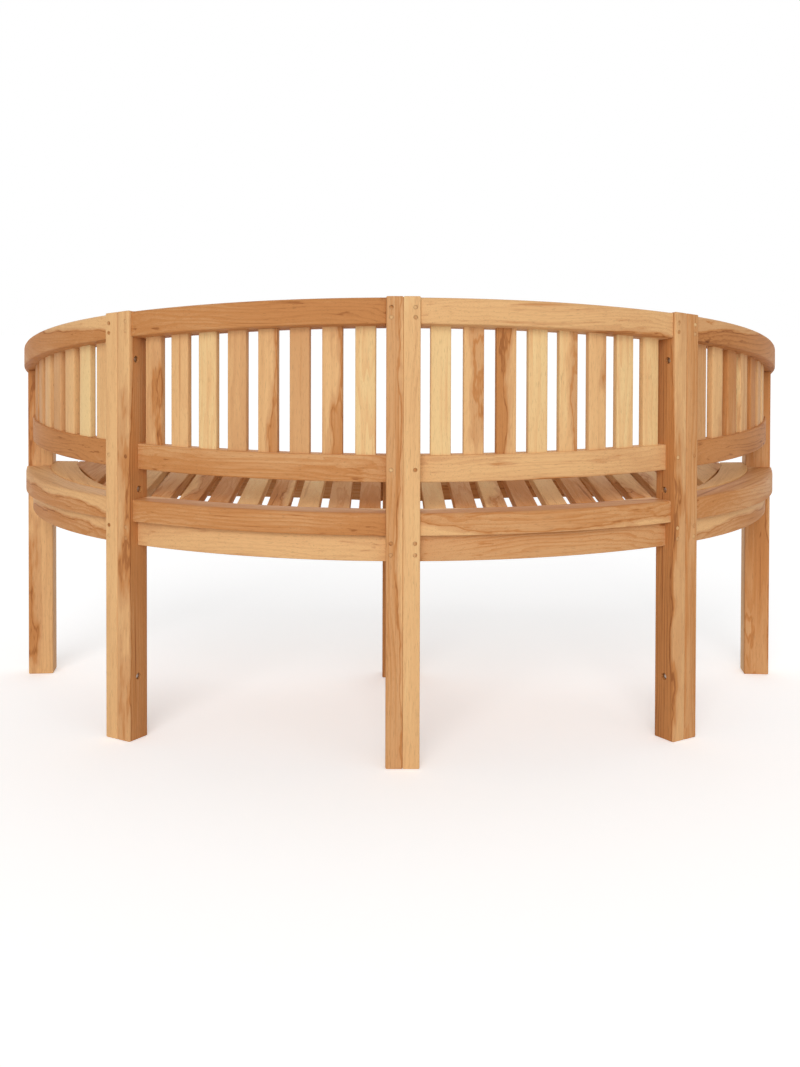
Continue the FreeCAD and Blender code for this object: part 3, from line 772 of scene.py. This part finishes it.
def rear_edge(tree, x):
    # Where the seat slats end at the back: along the rim, then along the end board
    apart = calc(tree, "ABSOLUTE", x)
    joint_x = (middle_radius - rim_sides[1]) * math.sin(joint_angle)
    middle = near_side(tree, apart, middle_centre, middle_radius - rim_sides[1])
    beside = near_side(tree, apart, side_centre, side_radius - rim_sides[1])
    beyond = calc(tree, "GREATER_THAN", apart, joint_x)
    rim = calc(tree, "MULTIPLY_ADD", calc(tree, "SUBTRACT", beside, middle), beyond, middle)
    board_centre, board_radius = circle_through(end_board_tip, end_board_middle, end_board_front)
    return calc(tree, "MAXIMUM", rim, near_side(tree, apart, board_centre, board_radius))


def seat_slat_tree():
    tree, given = geometry_tree("fan_of_seat_slats", {
        "Count": "Int", "Pitch": "Float", "Gap": "Float", "Thickness": "Float",
        "Rounding": "Float", "Fan": "Float", "Material": "Material"})
    width = calc(tree, "SUBTRACT", given["Pitch"], given["Gap"])
    blank = rounded_bar(tree, width, given["Thickness"], given["Rounding"], 2 * ring_steps + 2)
    index = add_node(tree, "GeometryNodeInputIndex").outputs[0]
    spots = add_node(tree, "GeometryNodePoints", {"Count": given["Count"]}).outputs[0]
    spots = store(tree, spots, "board", index, "INT")
    slats = repeated(tree, spots, blank)

    # Where each slat is in the row
    half_count = calc(tree, "MULTIPLY", calc(tree, "SUBTRACT", given["Count"], 1), 0.5)
    from_middle = calc(tree, "SUBTRACT", stored(tree, "board", "INT"), half_count)
    steps_out = calc(tree, "ABSOLUTE", from_middle)
    way = calc(tree, "SIGN", from_middle)
    is_middle = calc(tree, "LESS_THAN", steps_out, 0.5)
    is_last = calc(tree, "GREATER_THAN", steps_out, calc(tree, "SUBTRACT", half_count, 0.5))
    by_leg = calc(tree, "COMPARE", steps_out, slat_by_leg, 0.5)

    # The rings near each end draw in, which eases the end's edges
    place = point_xyz(tree)
    ring_gap = calc(tree, "SUBTRACT", 2 * ring_steps + 1, place[2])
    angle = calc(tree, "MULTIPLY", calc(tree, "MINIMUM", place[2], ring_gap),
                 math.pi / 2 / ring_steps)
    swell = calc(tree, "SINE", calc(tree, "MINIMUM", angle, math.pi / 2))
    run_in = calc(tree, "COSINE", calc(tree, "MINIMUM", angle, math.pi / 2))
    from_end = calc(tree, "MULTIPLY", calc(tree, "SUBTRACT", 1.0, run_in), given["Rounding"])
    eased = []
    for own, size in ((place[0], width), (place[1], given["Thickness"])):
        reach = calc(tree, "SUBTRACT", calc(tree, "MULTIPLY", size, 0.5), given["Rounding"])
        core = calc(tree, "MULTIPLY", calc(tree, "SIGN", own), reach)
        eased.append(calc(tree, "MULTIPLY_ADD", calc(tree, "SUBTRACT", own, core), swell, core))
    extra = calc(tree, "ADD", calc(tree, "MULTIPLY", is_middle, middle_slat_extra),
                 calc(tree, "MULTIPLY", is_last, last_slat_extra))
    shift = calc(tree, "MULTIPLY_ADD", is_last, last_slat_extra, middle_slat_extra)
    centre_x = calc(tree, "MULTIPLY_ADD", from_middle, given["Pitch"],
                    calc(tree, "MULTIPLY", way, shift))
    own_x = calc(tree, "MULTIPLY_ADD", calc(tree, "SIGN", place[0]), extra, eased[0])
    x = calc(tree, "ADD", own_x, centre_x)

    # The fan moves each point sideways and with it its place on the trimmed ends, so go twice
    at_front = calc(tree, "GREATER_THAN", place[2], ring_steps + 0.5)
    longer = calc(tree, "ADD", calc(tree, "MULTIPLY", is_middle, middle_slat_longer),
                  calc(tree, "MULTIPLY", by_leg, leg_slat_longer))
    fanned = x
    for trim_pass in range(trim_passes):
        rear = calc(tree, "SUBTRACT", calc(tree, "ADD", rear_edge(tree, fanned), from_end), longer)
        front = near_side(tree, fanned, front_centre, front_radius)
        front = calc(tree, "SUBTRACT", front, from_end)
        y = calc(tree, "MULTIPLY_ADD", calc(tree, "SUBTRACT", front, rear), at_front, rear)
        past_start = calc(tree, "SUBTRACT", y, fan_start)
        spread = calc(tree, "MULTIPLY_ADD", past_start, given["Fan"], 1.0)
        fanned = calc(tree, "MULTIPLY", x, spread)
    top = calc(tree, "MULTIPLY_ADD", calc(tree, "SUBTRACT", y, back_y), top_of_seat[1],
               top_of_seat[0])
    middle = calc(tree, "SUBTRACT", top, calc(tree, "MULTIPLY", given["Thickness"], 0.5))
    z = calc(tree, "ADD", middle, eased[1])
    slats = add_node(tree, "GeometryNodeSetPosition", {
        "Geometry": slats, "Position": combined(tree, fanned, y, z)}).outputs[0]
    finish_tree(tree, slats, given["Material"])
    return tree


seat_teak = teak("oiled_teak_seat", blush=(1.02, 1.00, 0.96), ring_width=0.009, sheen=0.03)
seat_mesh = grown(seat_slat_tree(), {
    "Count": seat_slat_count, "Pitch": seat_slat_pitch, "Gap": seat_slat_gap,
    "Thickness": seat_slat_thickness, "Rounding": seat_slat_rounding, "Fan": seat_fan,
    "Material": seat_teak})
seat_tones = (0.38, 0.34, 0.40, 0.32, 0.38, 0.42, 0.33, 0.39, 0.35, 0.31, 0.41, 0.36,
              0.34, 0.39, 0.32, 0.42, 0.36, 0.38, 0.33, 0.41, 0.37, 0.34, 0.39)
grain_of(seat_mesh, (0, 1, 0), (0.3, 0, 0), seat_tones)
finish_piece("seat_slats", seat_mesh, seat_teak,
             ["seat_slat_middle", "seat_slats_right", "seat_slats_left"])

# Seat end boards, front aprons, ledgers and bearers. Plain planks sawn to shape, which close
# the seat at its ends and front and carry its slats. Their shapes are the solids' own, eased.
under_teak = teak("sawn_teak_under_seat", gain=0.86, roughness=(0.62, 0.80), ring_width=0.008)
merge_distance = 0.00001
flat_angle = math.radians(0.4)
plank_seed_step = 31
tone_spread = 0.08


def eased_copy(node, width):
    # A solid's mesh with its loose facets joined, its flat faces made whole and its edges eased
    mesh = nodes[node].data.copy()
    shape = bmesh.new()
    shape.from_mesh(mesh)
    bmesh.ops.remove_doubles(shape, verts=shape.verts, dist=merge_distance)
    bmesh.ops.dissolve_limit(shape, angle_limit=flat_angle, verts=shape.verts, edges=shape.edges)
    shape.to_mesh(mesh)
    shape.free()
    return rounded(mesh, width)


plank_rows = (
    ("seat_end_board_SIDE", (0.36, 0.93, 0), seat_teak, "teak_seat_frame", 0.0018, 0.42),
    ("front_apron_SIDE", (1, 0, 0), under_teak, "teak_under_seat", 0.0018, 0.36),
    ("bearer_middle_SIDE", (0, 1, 0), under_teak, "teak_under_seat", 0.0012, 0.40),
    ("bearer_SIDE", (0, 1, 0), under_teak, "teak_under_seat", 0.0012, 0.38),
    ("seat_ledger_SIDE_middle", (0.96, 0.28, 0), under_teak, "teak_under_seat", 0.0012, 0.44),
    ("seat_ledger_SIDE_end", (0.55, 0.83, 0), under_teak, "teak_under_seat", 0.0012, 0.40),
)
for number, (row_name, heading, material, slot, width, tone) in enumerate(plank_rows):
    for side, way in (("right", 1), ("left", -1)):
        name = row_name.replace("SIDE", side)
        mesh = eased_copy(name, width)
        draw = random.Random(number * plank_seed_step + way)
        pith = (draw.uniform(0, longest_stretch), draw.uniform(-0.04, 0.04),
                draw.uniform(0.03, 0.11))
        own_tone = tone + draw.uniform(-tone_spread, tone_spread)
        grain_of(mesh, (heading[0] * way, heading[1], 0), pith, (own_tone,))
        finish_piece(name + "_plank", mesh, material, [name])

# Front legs. A pair of square posts under the middle of the front edge, bolted together like
# the back ones and cut to the slope of the seat slats that rest on them.
front_leg_width = 0.036
front_place = (Vector((0, back_y + 0.541)), Vector((1, 0)), Vector((0, 1)))
under_seat = (top_of_seat[0] - seat_slat_thickness, top_of_seat[1])
front_bolt_places = ((0.114, 0.0235), (0.330, 0.0235))
front_piths = {"right": (0.17, 0.02, 0.08), "left": (1.31, 0.03, 0.06)}
front_tones = {"right": 0.34, "left": 0.44}
shape = post_mesh(front_place, 0, front_leg_width, leg_depth, under_seat)
shape = bored(shape, [], bolt_ends(front_place, front_leg_width, front_bolt_places))
bolt_spots.append((front_place, front_leg_width, front_bolt_places))
for side in ("right", "left"):
    mesh = shape.copy() if side == "right" else mirrored_mesh(shape)
    name = "front_leg_middle_" + side
    grain_of(mesh, (0, 0, 1), front_piths[side], (front_tones[side],))
    finish_piece(name + "_post", mesh, leg_teak, [name])

# Pegs. Short, slightly tapered teak dowels, driven through the legs' outer faces and the tenons
# behind them and cut off flush. Each shows as a small ring of end grain in a dark joint.
peg_radius = 0.0032
peg_tip_radius = 0.0030
peg_sink = 0.0003
round_sides = 20
cap_rings = 4
tip_from = 0.9


def round_bars_tree():
    tree, given = geometry_tree("round_bars_on_spots", {
        "Sides": "Int", "Radius": "Float", "Tip Radius": "Float", "Length": "Float",
        "Dome": "Float", "Material": "Material"})
    bar = add_node(tree, "GeometryNodeMeshCone", {
        "Vertices": given["Sides"], "Side Segments": 1, "Fill Segments": cap_rings,
        "Radius Top": given["Tip Radius"], "Radius Bottom": given["Radius"],
        "Depth": given["Length"]}).outputs[0]
    place = point_xyz(tree)
    out = calc(tree, "ADD", calc(tree, "MULTIPLY", place[0], place[0]),
               calc(tree, "MULTIPLY", place[1], place[1]))
    whole = calc(tree, "MULTIPLY", given["Tip Radius"], given["Tip Radius"])
    inwards = calc(tree, "SUBTRACT", 1.0, calc(tree, "DIVIDE", out, whole))
    crown = calc(tree, "MULTIPLY", inwards, given["Dome"])
    at_tip = calc(tree, "GREATER_THAN", place[2], calc(tree, "MULTIPLY", given["Length"], tip_from))
    raised = combined(tree, 0.0, 0.0, calc(tree, "MULTIPLY", crown, at_tip))
    bar = store(tree, bar, "local", combined(tree, place[2], place[0], place[1]), "FLOAT_VECTOR")
    bar = add_node(tree, "GeometryNodeSetPosition", {"Geometry": bar, "Offset": raised}).outputs[0]
    bars = repeated(tree, given["Geometry"], bar,
                    Rotation=combined(tree, 0.0, math.pi / 2, stored(tree, "turn")))
    finish_tree(tree, bars, given["Material"])
    return tree


def spots_mesh(spots):
    # One vertex for each spot, with its number and the way its bar points
    mesh = bpy.data.meshes.new("spots")
    mesh.from_pydata([start for start, way in spots], [], [])
    mesh.attributes.new("board", "INT", "POINT")
    mesh.attributes.new("turn", "FLOAT", "POINT")
    for index, (start, way) in enumerate(spots):
        mesh.attributes["board"].data[index].value = index
        mesh.attributes["turn"].data[index].value = math.atan2(way.y, way.x)
    return mesh


def both_sides(spots):
    # The spots with their mirror images
    flip = Vector((-1, 1, 1))
    return spots + [(start * flip, way * flip) for start, way in spots]


bars_tree = round_bars_tree()
peg_teak = teak("teak_peg_ends", gain=0.92, ring_width=0.0016)
peg_mesh = grown(bars_tree, {
    "Sides": round_sides, "Radius": peg_radius, "Tip Radius": peg_tip_radius,
    "Length": peg_length - peg_sink, "Dome": 0.0, "Material": peg_teak},
    spots_mesh(both_sides([(start + way * peg_sink, way) for start, way in peg_spots])))
grain_of(peg_mesh, (0, 1, 0), (0.5, 0, 0), (0.34, 0.62, 0.40, 0.30, 0.56, 0.44, 0.36))
finish_piece("pegs_driven", peg_mesh, peg_teak, ["pegs"])

# Bolts and nuts. Stainless steel bolts hold each pair of legs together. Their domed heads and
# their nuts sit in bores in the legs' outer faces, so nothing stands proud of the wood.
bolt_radius = 0.003
bolt_head_radius = 0.0052
bolt_head_height = 0.0034
bolt_head_dome = 0.0012
bolt_tail = 0.0015
nut_radius = 0.0057
nut_height = 0.005
nut_sides = 6
scuffs_per_metre = (900.0, 900.0, 900.0)

steel = bpy.data.materials.new("brushed_stainless_steel")
steel.use_nodes = True
tree = steel.node_tree
tree.nodes.clear()
spot = add_node(tree, "ShaderNodeTexCoord").outputs["Object"]
scuff = noise(tree, scaled(tree, spot, scuffs_per_metre), 2.0)
scuff = ranged(tree, scuff, 0.0, 1.0, 0.28, 0.48, "LINEAR")
metal = add_node(tree, "ShaderNodeBsdfPrincipled", {"Roughness": scuff})
metal.inputs["Base Color"].default_value = (0.46, 0.41, 0.36, 1)
metal.inputs["Metallic"].default_value = 1.0
add_node(tree, "ShaderNodeOutputMaterial", {"Surface": metal.outputs[0]})


def joined(meshes):
    # One mesh of several
    shape = bmesh.new()
    for mesh in meshes:
        shape.from_mesh(mesh)
    result = bpy.data.meshes.new("joined")
    shape.to_mesh(result)
    shape.free()
    return result


head_spots = []
nut_spots = []
shanks = []
for place, half_width, places in bolt_spots:
    shank_spots = []
    for number, (start, way) in enumerate(bolt_ends(place, half_width, places)):
        seat = start + way * counterbore_depth
        if number % 2 == 0:
            head_spots.append((seat, -way, place))
            shank_spots.append((seat, way))
        else:
            nut_spots.append((seat, -way, place))
    if place is joint_place:
        shank_spots = both_sides(shank_spots)
    shank_length = 2 * (half_width - counterbore_depth) + nut_height + bolt_tail
    shanks.append(grown(bars_tree, {
        "Sides": round_sides, "Radius": bolt_radius, "Tip Radius": bolt_radius,
        "Length": shank_length, "Dome": 0.0, "Material": steel}, spots_mesh(shank_spots)))


def at_both_joints(rows):
    # The side pairs stand on both sides of the bench, the middle pairs only once
    spots = [(start, way) for start, way, place in rows if place is not joint_place]
    return spots + both_sides([(start, way) for start, way, place in rows if place is joint_place])


heads = grown(bars_tree, {
    "Sides": round_sides, "Radius": bolt_head_radius, "Tip Radius": bolt_head_radius,
    "Length": bolt_head_height, "Dome": bolt_head_dome, "Material": steel},
    spots_mesh(at_both_joints(head_spots)))
finish_piece("bolts_turned", joined([heads] + shanks), steel, ["bolts"])
nut_mesh = grown(bars_tree, {
    "Sides": nut_sides, "Radius": nut_radius, "Tip Radius": nut_radius, "Length": nut_height,
    "Dome": 0.0, "Material": steel}, spots_mesh(at_both_joints(nut_spots)))
finish_piece("nuts_turned", nut_mesh, steel, ["nuts"])

# Light. A pale room with a broad soft sun rather low behind the camera, a little to its left, and
# weaker ones from its right and from the sitter's side. The floor is white and keeps the shadow.
ambient = 0.41
floor_white = 0.97
floor_glow = 0.31
floor_reach = 30


def looked_at(tree):
    # 1 where a surface is seen, also mirrored or through another, and 0 where it lights the rest
    path = add_node(tree, "ShaderNodeLightPath").outputs
    return calc(tree, "MAXIMUM", path["Is Camera Ray"], calc(
        tree, "MAXIMUM", path["Is Glossy Ray"], path["Is Transmission Ray"]))


world = bpy.data.worlds.new("studio")
world.use_nodes = True
bpy.context.scene.world = world
tree = world.node_tree
tree.nodes.clear()
strength = ranged(tree, looked_at(tree), 0.0, 1.0, ambient, 1.0, "LINEAR")
sky = add_node(tree, "ShaderNodeBackground", {"Color": (1.0, 1.0, 1.0, 1), "Strength": strength})
add_node(tree, "ShaderNodeOutputWorld", {"Surface": sky.outputs[0]})


def soft_sun(name, heading, spread, power):
    sun_data = bpy.data.lights.new(name, "SUN")
    sun_data.angle = math.radians(spread)
    sun_data.energy = power
    sun = bpy.data.objects.new(name, sun_data)
    sun.rotation_euler = Vector(heading).to_track_quat("-Z", "Y").to_euler()
    bpy.context.scene.collection.objects.link(sun)


soft_sun("key_sun", (0.15, 0.95, -0.42), 36, 1.38)
soft_sun("fill_sun", (-0.30, 0.80, -0.55), 60, 0.30)
soft_sun("far_sun", (-0.10, -0.60, -0.90), 60, 0.45)

floor_mesh = bpy.data.meshes.new("floor")
corners = [(x * floor_reach, y * floor_reach, 0) for x, y in ((-1, -1), (1, -1), (1, 1), (-1, 1))]
floor_mesh.from_pydata(corners, [], [(0, 1, 2, 3)])
floor_paint = bpy.data.materials.new("white_floor")
floor_paint.use_nodes = True
tree = floor_paint.node_tree
shader = tree.nodes["Principled BSDF"]
shader.inputs["Base Color"].default_value = (floor_white, floor_white, floor_white, 1)
shader.inputs["Roughness"].default_value = 1.0
shader.inputs["Specular IOR Level"].default_value = 0.0
shader.inputs["Emission Color"].default_value = (1.0, 1.0, 1.0, 1)
glow = calc(tree, "MULTIPLY", looked_at(tree), floor_glow)
tree.links.new(glow, shader.inputs["Emission Strength"])
floor_mesh.materials.append(floor_paint)
floor = bpy.data.objects.new("floor", floor_mesh)
bpy.context.scene.collection.objects.link(floor)

bpy.context.scene.view_settings.view_transform = "Standard"
